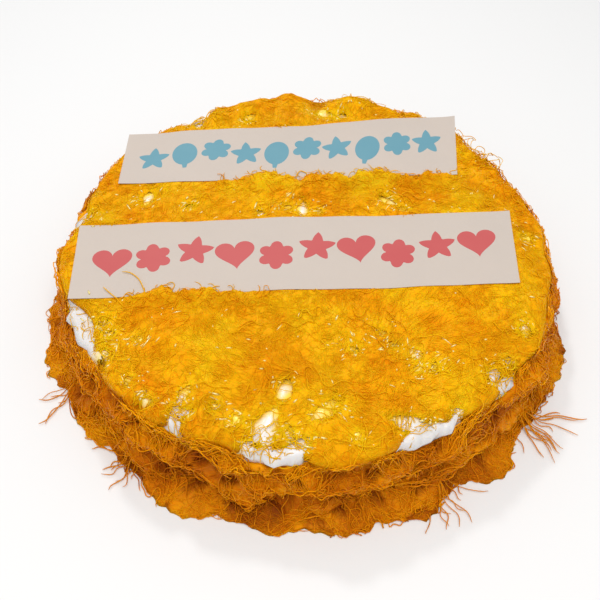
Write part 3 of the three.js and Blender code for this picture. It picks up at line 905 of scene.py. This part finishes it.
# The mat's paler places, and its painted shade under the swags and in the hollows.
pale, deep = side_tints(around_scale * angle, height)
tone = np.clip(0.5 + 0.4 * side_waves(around_scale * angle, height, 9, 67), 0, 1)
values = {"thin": pale, "deep": deep, "tone": tone, "along": around_scale * angle, "up": up_slope(height)}
values = {key: numbers.reshape(-1)[source] for key, numbers in values.items()}
side_mat = make_piece("side_mat", points, faces, side_mat_material, values)
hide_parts("side_threads")


# The loose threads of the side
# Handfuls of threads that run round the cake or sag from one place to the next, locks that hang over the
# rim, and single ones that curl out. They are drawn flat, along the side and up its slope, and then laid
# round the cake.
slope_heights = np.linspace(0, 60, 241)
slope_reach = up_slope(slope_heights)
highest_up = 54


def side_stroke(along, up):
    """The direction in which the hand laid the threads at a place of the side, in radians."""
    return 1.0 * waves(along, up, 62, 23) + 0.5 * waves(along, up, 24, 24)


def lay_on_side(along, up, lift, bridging):
    """Lays flat routes on the side. bridging is how many times they are drawn taut over its hollows."""
    angle = along / around_scale
    up = up + 2.2 * side_waves(along, 0, 12, 70) * ease(up, 36, 46)
    highest = highest_up - 9 * notch_share(angle)
    up = highest - np.abs(highest - up)
    height = np.interp(np.maximum(up, 0.4), slope_reach, slope_heights)
    height = np.clip(height, 0.4, seam_height(angle) + 8)
    radius = side_skin(angle, height) + np.clip(-up, 0, foot_reach)
    for _ in range(bridging):
        taut = radius.copy()
        taut[:, 1:-1] = (radius[:, :-2] + 2 * radius[:, 1:-1] + radius[:, 2:]) / 4
        radius = np.maximum(taut, radius - 0.4)
    radius = np.clip(radius + lift, cake_radius + 1, foot_radius + foot_reach)
    return np.stack([radius * np.cos(angle), radius * np.sin(angle), np.maximum(height, 0.5)], -1)


# Each kind of loose thread: its skeins and the threads in each, their length and spread, the way they run
# and how much that varies, how far up the slope they start, how far they stand off it, how much they bow,
# curl and turn, how taut they span the hollows, and how far they spill past the foot.
side_families = [
    {"name": "side_threads_inner", "seed": 71, "skeins": 165, "each": 9, "steps": 13, "length": 30,
     "spread": 2.6, "stray": 0.25, "lead": 0.0, "turn": 0.5, "up": (0, 50), "lift": (-0.2, 0.25),
     "bow": 0, "curl": 0.2, "wild": 0.2, "bridging": 1, "spill": 1},
    {"name": "side_threads_outer", "seed": 72, "skeins": 125, "each": 9, "steps": 14, "length": 32,
     "spread": 2.0, "stray": 0.2, "lead": 0.0, "turn": 0.5, "up": (1, 48), "lift": (0.1, 1.2),
     "bow": 1.2, "curl": 0.4, "wild": 0.45, "bridging": 5, "spill": 1.5},
    {"name": "hanging_threads", "seed": 73, "skeins": 66, "each": 9, "steps": 16, "length": 26,
     "spread": 2.2, "stray": 0.2, "lead": -1.57, "turn": 0.5, "up": (20, 54), "lift": (0.3, 1.7),
     "bow": 1.6, "curl": 0.5, "wild": 0.6, "bridging": 8, "spill": 2},
    {"name": "side_curls", "seed": 74, "skeins": 190, "each": 2, "steps": 24, "length": 25,
     "spread": 1.5, "stray": 0.5, "lead": 0.0, "turn": 1.3, "up": (1, 50), "lift": (0.5, 1.9),
     "bow": 1.8, "curl": 0.55, "wild": 1.5, "bridging": 4, "spill": 2.5},
    {"name": "rim_threads", "seed": 75, "skeins": 62, "each": 9, "steps": 15, "length": 30,
     "spread": 1.6, "stray": 0.3, "lead": 0.0, "turn": 0.6, "up": (42, 51), "lift": (-0.4, 0.5),
     "bow": 0.6, "curl": 0.4, "wild": 0.8, "bridging": 2, "spill": 1},
    {"name": "foot_threads", "seed": 77, "skeins": 78, "each": 8, "steps": 13, "length": 24,
     "spread": 2.2, "stray": 0.3, "lead": 0.0, "turn": 0.6, "up": (-1, 9), "lift": (-0.1, 0.5),
     "bow": 0.4, "curl": 0.3, "wild": 0.5, "bridging": 1, "spill": 2},
    {"name": "foot_curls", "seed": 78, "skeins": 34, "each": 7, "steps": 16, "length": 17,
     "spread": 1.5, "stray": 0.35, "lead": -0.6, "turn": 0.7, "up": (-1, 5), "lift": (0.1, 0.8),
     "bow": 0.6, "curl": 0.3, "wild": 0.8, "bridging": 2, "spill": 7},
]
for family in side_families:
    random = np.random.default_rng(family["seed"])
    skeins, steps = family["skeins"], family["steps"]
    along = around_scale * golden_turn * (np.arange(skeins) + random.uniform(-0.2, 0.2, skeins))
    low, high = family["up"]
    up = low + (high - low) * (np.arange(skeins) + random.uniform(0, 1, skeins)) / skeins
    lead = family["lead"] + side_stroke(along, up) + random.normal(0, family["turn"], skeins)
    along, up = comb(random, along, up, lead, side_stroke, family["each"], steps, family["length"],
                     family["spread"], family["stray"], family["wild"])
    count = len(along)
    own_spill = np.repeat(random.uniform(0, 1, skeins) ** 2, family["each"]) * random.uniform(0.6, 1, count)
    lowest = -family["spill"] * own_spill[:, None]
    up = lowest + np.abs(up - lowest)
    share = np.linspace(0, 1, steps)
    tightness = random.uniform(10, 30, count)[:, None]
    curl = family["curl"] * random.uniform(0.3, 1.3, count)[:, None] * np.sin(
        tightness * share + random.uniform(0, 2 * np.pi, count)[:, None])
    skein_bow = family["bow"] * np.repeat(random.uniform(0, 1, skeins), family["each"])
    bow = skein_bow[:, None] * 4 * share * (1 - share)
    lift = random.uniform(*family["lift"], count)[:, None] + bow + curl
    routes = lay_on_side(along, up, lift, family["bridging"])
    own = random.uniform(-0.22, 0.22, count)
    tone = np.clip(0.5 + 0.3 * waves(along[:, 5], up[:, 5], 26, 67) + own, 0, 1)
    # Threads that stand off the side get less painted shade and a little painted light.
    pale, deep = side_tints(along, routes[:, :, 2])
    thin = np.clip(pale + own[:, None] + 0.1 * lift, 0, 1)
    deep = np.clip(deep - 0.2 * np.maximum(lift, 0) - own[:, None], 0, 1)
    radius = random.uniform(0.2, 0.4, count)
    loose = add_threads(family["name"], routes, radius, tone, thin, deep, side_material)


# The ragged edges of the swags
# Along the lower edge of each handful the threads come loose in a frayed, lighter fringe of short curls,
# which hang a little below it and stand out from the hollow underneath.
fringe_count, fringe_steps = 1150, 14
fringe_lowest, fringe_highest = 1, 42


def no_stroke(x, y):
    """Stands in for the strokes of the hand where threads keep the way they start in."""
    return 0 * x


random = np.random.default_rng(76)
along = around_scale * random.uniform(0, 2 * np.pi, fringe_count)
level = random.integers(0, 3, fringe_count)
lead = random.normal(-0.5, 0.8, fringe_count) + np.pi * random.integers(0, 2, fringe_count)
along, drop = comb(random, along, 0 * along, lead, no_stroke, 1, fringe_steps, 15, 1.2, 0.2, 1.0)
ragged = 0.12 * side_waves(along, 0 * along, 23, 60)
swag_edge = swag_height * (level[:, None] - swag_droop(along / around_scale) - ragged)
height = swag_edge + 1 + np.clip(drop, -4.5, 3)
seen = (height.min(1) > fringe_lowest) & (height.max(1) < fringe_highest)
along, height = along[seen], height[seen]
count = len(along)
lift = random.uniform(0.2, 1.2, count)[:, None] + 0 * height
routes = lay_on_side(along, np.interp(height, slope_heights, slope_reach), lift, 4)
own = random.uniform(-0.25, 0.25, count)
fringe = add_threads("fringe_threads", routes, random.uniform(0.2, 0.34, count), 0.6 + own,
                     np.clip(0.5 + own[:, None] + 0 * height, 0, 1), 0.05 + 0 * height, side_material)


# The locks at the foot
# Here and there a whole lock has slid down and lies spread out past the foot: direction in degrees, how far
# it reaches, number of threads, and how wide it fans out in degrees.
foot_locks = [
    (-37, 30, 16, 4.5), (-62, 20, 12, 3.0), (-151, 24, 6, 2.0), (-128, 15, 9, 3.0), (28, 14, 8, 3.0),
]
lock_steps = 18
lock_start = 7
random = np.random.default_rng(79)
lock_rows = [[(at, reach, fan)] * count for at, reach, count, fan in foot_locks]
at, reach, fan = np.concatenate(lock_rows).T[:, :, None]
count = len(at)
share = np.linspace(0, 1, lock_steps)
start = np.radians(at + 1.5 * random.normal(0, 1, (count, 1)))
aside = np.radians(fan * random.normal(0, 1, (count, 1))) * share
wander = 0.012 * np.sin(random.uniform(4, 11, (count, 1)) * share + random.uniform(0, 6, (count, 1))) * share
angle = start + aside + wander
low = side_skin(start, lock_start) - 2
radius = low + (reach + lock_start) * random.uniform(0.45, 1, (count, 1)) * share
height = 0.6 + random.uniform(6, 10, (count, 1)) * (1 - ease(share, 0, 0.45))
height = height + 0.5 * np.abs(np.sin(9 * share + start * 40))
routes = np.stack([radius * np.cos(angle), radius * np.sin(angle), height], -1)
locks = add_threads("foot_locks", routes, random.uniform(0.25, 0.4, count), random.uniform(0.3, 0.9, count),
                    0.5 + 0 * height, 0.1 + 0 * height, side_material)


# The paper banners
# Two strips cut by hand, not quite straight, from sheets of printing paper. They lie on the threads, which
# they follow loosely, and their corners lift a little.
paper_material, nodes, links, shader = new_material("printing paper", 0.62, 0.3, 0.05, (0.6, 0.5, 0.4))
# The paper's warm tint is partly its own colour and partly painted warm light thrown on it by the threads.
paper_and_painted_bounce_tint = mix_colours(nodes, links, add_noise(nodes, links, 30), (0.57, 0.49, 0.43), (0.52, 0.455, 0.405))
links.new(paper_and_painted_bounce_tint, shader.inputs["Base Color"])
add_bump(nodes, links, shader, add_noise(nodes, links, 2600, 4), 0.12, 0.0001)
paper_thickness = 0.22


def sheet_point(strip, along, across):
    """A point of a banner's upper face, with the small waves and lifted corners of the paper."""
    point = strip_point(strip, along, across)
    corner = (np.abs(along - 0.5) * 2) ** 14 * (np.abs(across - 0.5) * 2) ** 3
    point[..., 2] += 0.9 * corner + 0.12 * waves(paper_length * along, paper_width * across, 33, 91)
    return point


def make_banner(name, strip, node):
    lengthwise, crosswise = 84, 20
    shares = np.linspace(0, 1, lengthwise + 1), np.linspace(0, 1, crosswise + 1)
    along, across = np.meshgrid(*shares, indexing="ij")
    sheet = sheet_point(strip, along, across)
    cut = 0.35 * np.sin(17 * along) + 0.2 * np.sin(41 * along + 1)
    sheet[..., 1] += cut * (np.abs(across - 0.5) * 2) ** 4
    upper = sheet.reshape(-1, 3)
    quads = grid_quads(np.arange(len(upper)).reshape(along.shape))[:, [0, 3, 2, 1]]
    points, faces, _ = shell(upper, upper - [0, 0, paper_thickness], quads, np.full(len(quads), True))
    banner = make_piece(name, points, faces, paper_material, crease=40)
    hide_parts(node)


make_banner("rear_paper", rear_strip, "rear_banner")
make_banner("front_paper", front_strip, "front_banner")


# The threads over the banners' edges
# Once the banners lay in place, threads were pulled over parts of their near edges to hold them. Their
# frayed ends lie on the paper. For each banner: from where to where along its near edge they lie, and how
# many of them are single.
held_edges = [("rear", rear_strip, 0.29, 1.0, 260), ("front", front_strip, 0.12, 0.44, 120)]
edge_steps = 12
lap_width = 9


def over_edge(strip, x, y):
    """Height of the coat where it laps over a banner's edge."""
    inside, paper = inside_strip(strip, x, y)
    coat = thinned_height(x, y)
    return coat + np.maximum(paper + 0.3 - coat, 0) * ease(inside, -3, -0.5)


for number, (side, strip, start, end, count) in enumerate(held_edges):
    length = paper_length * (end - start)
    place = np.linspace(start, end, int(1.1 * length))
    place, row = np.meshgrid(place, np.linspace(0, 1, 10), indexing="ij")
    along = paper_length * place
    tuft = 3.4 + 3.0 * waves(along, 9, 37, 86 + number) + 1.7 * waves(along, 9, 12, 87)
    tuft = tuft + 0.8 * waves(along, 9, 4.2, 88)
    ends = ease(place, start, start + 0.08) * ease(-place, -end, 0.05 - end)
    tuft = np.maximum(tuft, -3) * ends
    edge = strip_point(strip, place, 1 + 0 * place)
    x, y = edge[..., 0], edge[..., 1] - lap_width + (lap_width + tuft) * row
    base = over_edge(strip, x, y)
    hump = (1.5 + 0.5 * waves(x, y, 8, 89)) * ends * np.sin(np.pi * row ** 1.6) ** 0.8
    upper = np.stack([x, y, base - 0.25 + hump], -1).reshape(-1, 3)
    lower = upper - [0, 0, 0.5]
    quads = grid_quads(np.arange(len(upper)).reshape(place.shape))
    points, faces, source = shell(upper, lower, quads, np.full(len(quads), True))
    x, y = x.reshape(-1)[source], y.reshape(-1)[source]
    values = {"thin": lemon_share(x, y), "tone": top_tone(x, y), "deep": 0 * x, "along": x, "up": y}
    lap = make_piece(side + "_edge_mat", points, faces, top_mat_material, values)

    random = np.random.default_rng(83 + number)
    pick = random.integers(0, len(place), count)
    lead = random.uniform(-0.5, 3.6, count)
    edge_x, edge_y, tip, end_share = edge[pick, -1, 0], edge[pick, -1, 1], tuft[pick, -1], ends[pick, -1]
    from_y = edge_y + tip - random.uniform(1, lap_width, count)
    x, y = comb(random, edge_x, from_y, lead, no_stroke, 1, edge_steps, 9, 0.1, 0.2, 1.2)
    near = np.clip((y - edge_y[:, None] + lap_width) / (lap_width + tip[:, None]), 0, 1)
    height = over_edge(strip, x, y) - 0.1 + 1.2 * end_share[:, None] * np.sin(np.pi * near ** 1.6) ** 0.8
    height = height + random.gamma(1.0, 0.3, count)[:, None] + 0.15 * np.sin(np.arange(edge_steps))
    tone = np.clip(top_tone(x[:, 5], y[:, 5]) + random.uniform(-0.1, 0.3, count), 0, 1)
    thin = np.clip(lemon_share(x, y) + 0.15, 0, 1)
    routes = np.stack([x, y, height], -1)
    radius = random.uniform(0.19, 0.31, count)
    held = add_threads(side + "_edge_threads", routes, radius, tone, thin, 0 * x, top_material)

# A few threads have slipped onto the paper: the banner, and places along each.
slipped = [
    (front_strip, [(-105, -28.5), (-99.8, -29), (-94.6, -33.5), (-91.5, -39.4), (-89, -46), (-86, -52)]),
    (front_strip, [(-113.8, -39.8), (-109, -44), (-105.3, -47), (-100, -53)]),
    (rear_strip, [(-7.6, 55), (-5.2, 61), (0, 58), (-3, 52.3), (-9, 49)]),
    (rear_strip, [(6.4, 62), (8.9, 53.5), (14, 48), (19, 44)]),
]
slipped_steps, slipped_radius = 18, 0.34
routes = []
for strip, places in slipped:
    share = np.linspace(0, len(places) - 1, slipped_steps)
    route = np.stack([np.interp(share, range(len(places)), axis) for axis in np.array(places, float).T], -1)
    for _ in range(2):
        route[1:-1] = (route[:-2] + 2 * route[1:-1] + route[2:]) / 4
    height = over_edge(strip, route[:, 0], route[:, 1]) + 0.3 + 0.15 * np.sin(3 * share)
    routes.append(np.column_stack([route, height]))
routes = np.stack(routes)
each, flat = np.ones(len(routes)), np.ones(routes.shape[:2])
slipped_threads = add_threads("slipped_threads", routes, slipped_radius * each, 0.5 * each, 0.6 * flat,
                              0 * flat, top_material)


# The print on the banners
# Rows of plain party shapes, in blue ink on one banner and pink on the other. The ink is printed unevenly and
# follows the waves of the paper.
def motif_outline(kind, turn):
    """Outline of a motif about its middle, for a height of about 2, at each angle of turn."""
    if kind == "heart":
        rise = 13 * np.cos(turn) - 5 * np.cos(2 * turn) - 2 * np.cos(3 * turn) - np.cos(4 * turn) + 2
        return 0.062 * 16 * np.sin(turn) ** 3, 0.062 * rise
    if kind == "star":
        point = np.abs(((turn * 5 / (2 * np.pi)) % 1) - 0.5) * 2
        radius = 0.48 + 0.52 * point ** 1.3
    if kind == "flower":
        radius = 0.6 + 0.32 * np.abs(np.cos(3 * turn)) ** 0.8
    if kind == "balloon":
        radius = np.where(np.abs(turn - np.pi) < 0.17, 1.22, 0.95)
        return 0.8 * radius * np.sin(turn), radius * np.cos(turn) + 0.12
    return radius * np.sin(turn), radius * np.cos(turn)


def print_row(name, strip, kinds, size, start, end, colour_near, colour_far):
    """A row of motifs as thin ink, each of rings that follow the paper."""
    rings, sides = 4, 56
    ink, nodes, links, shader = new_material(name + " ink", 0.5, 0.3, 0, (1, 1, 1))
    links.new(mix_colours(nodes, links, add_noise(nodes, links, 45), colour_near, colour_far),
              shader.inputs["Base Color"])
    far_left, far_right, near_right, near_left = [np.array(corner, float) for corner in strip["corners"]]
    length = np.linalg.norm(far_right - far_left)
    width = np.linalg.norm(far_left - near_left)
    points, faces = [], []
    turn = 2 * np.pi * np.arange(sides) / sides
    for i, kind in enumerate(kinds):
        place = start + (end - start) * i / (len(kinds) - 1)
        out_x, out_y = motif_outline(kind, turn)
        tilt = 0.16 * math.sin(2.4 * i)
        c, s = math.cos(tilt), math.sin(tilt)
        out_x, out_y = out_x * c - out_y * s, out_y * c + out_x * s
        rise = 0.06 * math.sin(1.9 * i + 1)
        shares = np.linspace(1, 1 / rings, rings)[:, None]
        along = place + np.append((shares * out_x).ravel(), 0) * size / length
        across = 0.5 + rise - np.append((shares * out_y).ravel(), 0) * size / width
        upper = sheet_point(strip, along, across) + [0, 0, 0.04]
        offset = 2 * i * len(upper)
        points += [upper, upper - [0, 0, 0.1]]
        low = len(upper)
        middle = low - 1
        for here in range(sides):
            following = (here + 1) % sides
            for ring in range(0, (rings - 1) * sides, sides):
                inner = ring + sides
                corners = [ring + here, ring + following, inner + following, inner + here]
                faces.append([offset + k for k in corners[::-1]])
                faces.append([offset + low + k for k in corners])
            corners = [middle, inner + following, inner + here]
            faces.append([offset + k for k in corners])
            faces.append([offset + low + k for k in (corners[0], corners[2], corners[1])])
            faces.append([offset + here, offset + following, offset + low + following, offset + low + here])
    row = make_piece(name, np.concatenate(points), faces, ink, crease=40)


print_row("rear_print", rear_strip, ["star", "balloon", "flower"] * 3 + ["star"], 10.8, 0.09, 0.91,
          (0.115, 0.29, 0.37), (0.145, 0.325, 0.395))
print_row("front_print", front_strip, ["heart", "flower", "star"] * 3 + ["heart"], 11.8, 0.085, 0.915,
          (0.50, 0.08, 0.085), (0.54, 0.11, 0.105))


# The floor, the light and the camera
# A pale floor under a broad soft light from above and a little in front, with a small lamp behind the cake
# that makes the syrup glint. The cake is looked at from in front and well above.
floor_reach = 4
corners = [(-floor_reach, -floor_reach, 0), (floor_reach, -floor_reach, 0), (floor_reach, floor_reach, 0),
           (-floor_reach, floor_reach, 0)]
floor_mesh = bpy.data.meshes.new("floor")
floor_mesh.from_pydata(corners, [], [(0, 1, 2, 3)])
floor = bpy.data.objects.new("floor", floor_mesh)
floor.location.z = -0.0003
bpy.context.scene.collection.objects.link(floor)
floor_material, nodes, links, shader = new_material("pale floor", 0.6, 0.3, 0, (1, 1, 1))
shader.inputs["Base Color"].default_value = (0.83, 0.83, 0.83, 1)
floor_mesh.materials.append(floor_material)


def add_light(name, place, size, power, colour):
    """A round lamp, so many metres across and so many watts, that shines on the middle of the cake's base."""
    lamp = bpy.data.lights.new(name, "AREA")
    lamp.shape = "DISK"
    lamp.size = size
    lamp.energy = power
    lamp.color = colour
    light = bpy.data.objects.new(name, lamp)
    light.location = place
    light.rotation_euler = (-Vector(place)).to_track_quat("-Z", "Y").to_euler()
    bpy.context.scene.collection.objects.link(light)


world = bpy.data.worlds.new("studio")
bpy.context.scene.world = world
world.use_nodes = True
world.node_tree.nodes["Background"].inputs["Color"].default_value = (1, 1, 1, 1)
world.node_tree.nodes["Background"].inputs["Strength"].default_value = 0.60
add_light("key", (0.0, -0.36, 1.15), 1.0, 8.2, (1, 0.99, 0.97))
add_light("spark", (-0.2, 0.6, 0.95), 0.12, 2.5, (1, 1, 1))

# Where the camera stands, in millimetres, and how far it looks down and leans over, in degrees.
camera_place = (-3.9, -309.0, 371.2)
camera_pitch, camera_roll = 50.67, 0.86
camera_data = bpy.data.cameras.new("camera")
camera_data.lens, camera_data.sensor_width = 45, 36
camera = bpy.data.objects.new("camera", camera_data)
place = (np.array(camera_place) + cake_middle) / 1000
pitched = Matrix.Rotation(math.radians(90 - camera_pitch), 4, "X")
rolled = Matrix.Rotation(math.radians(camera_roll), 4, "Z")
camera.matrix_world = Matrix.Translation(place.tolist()) @ pitched @ rolled
bpy.context.scene.collection.objects.link(camera)
bpy.context.scene.camera = camera
bpy.context.scene.view_settings.view_transform = "Standard"
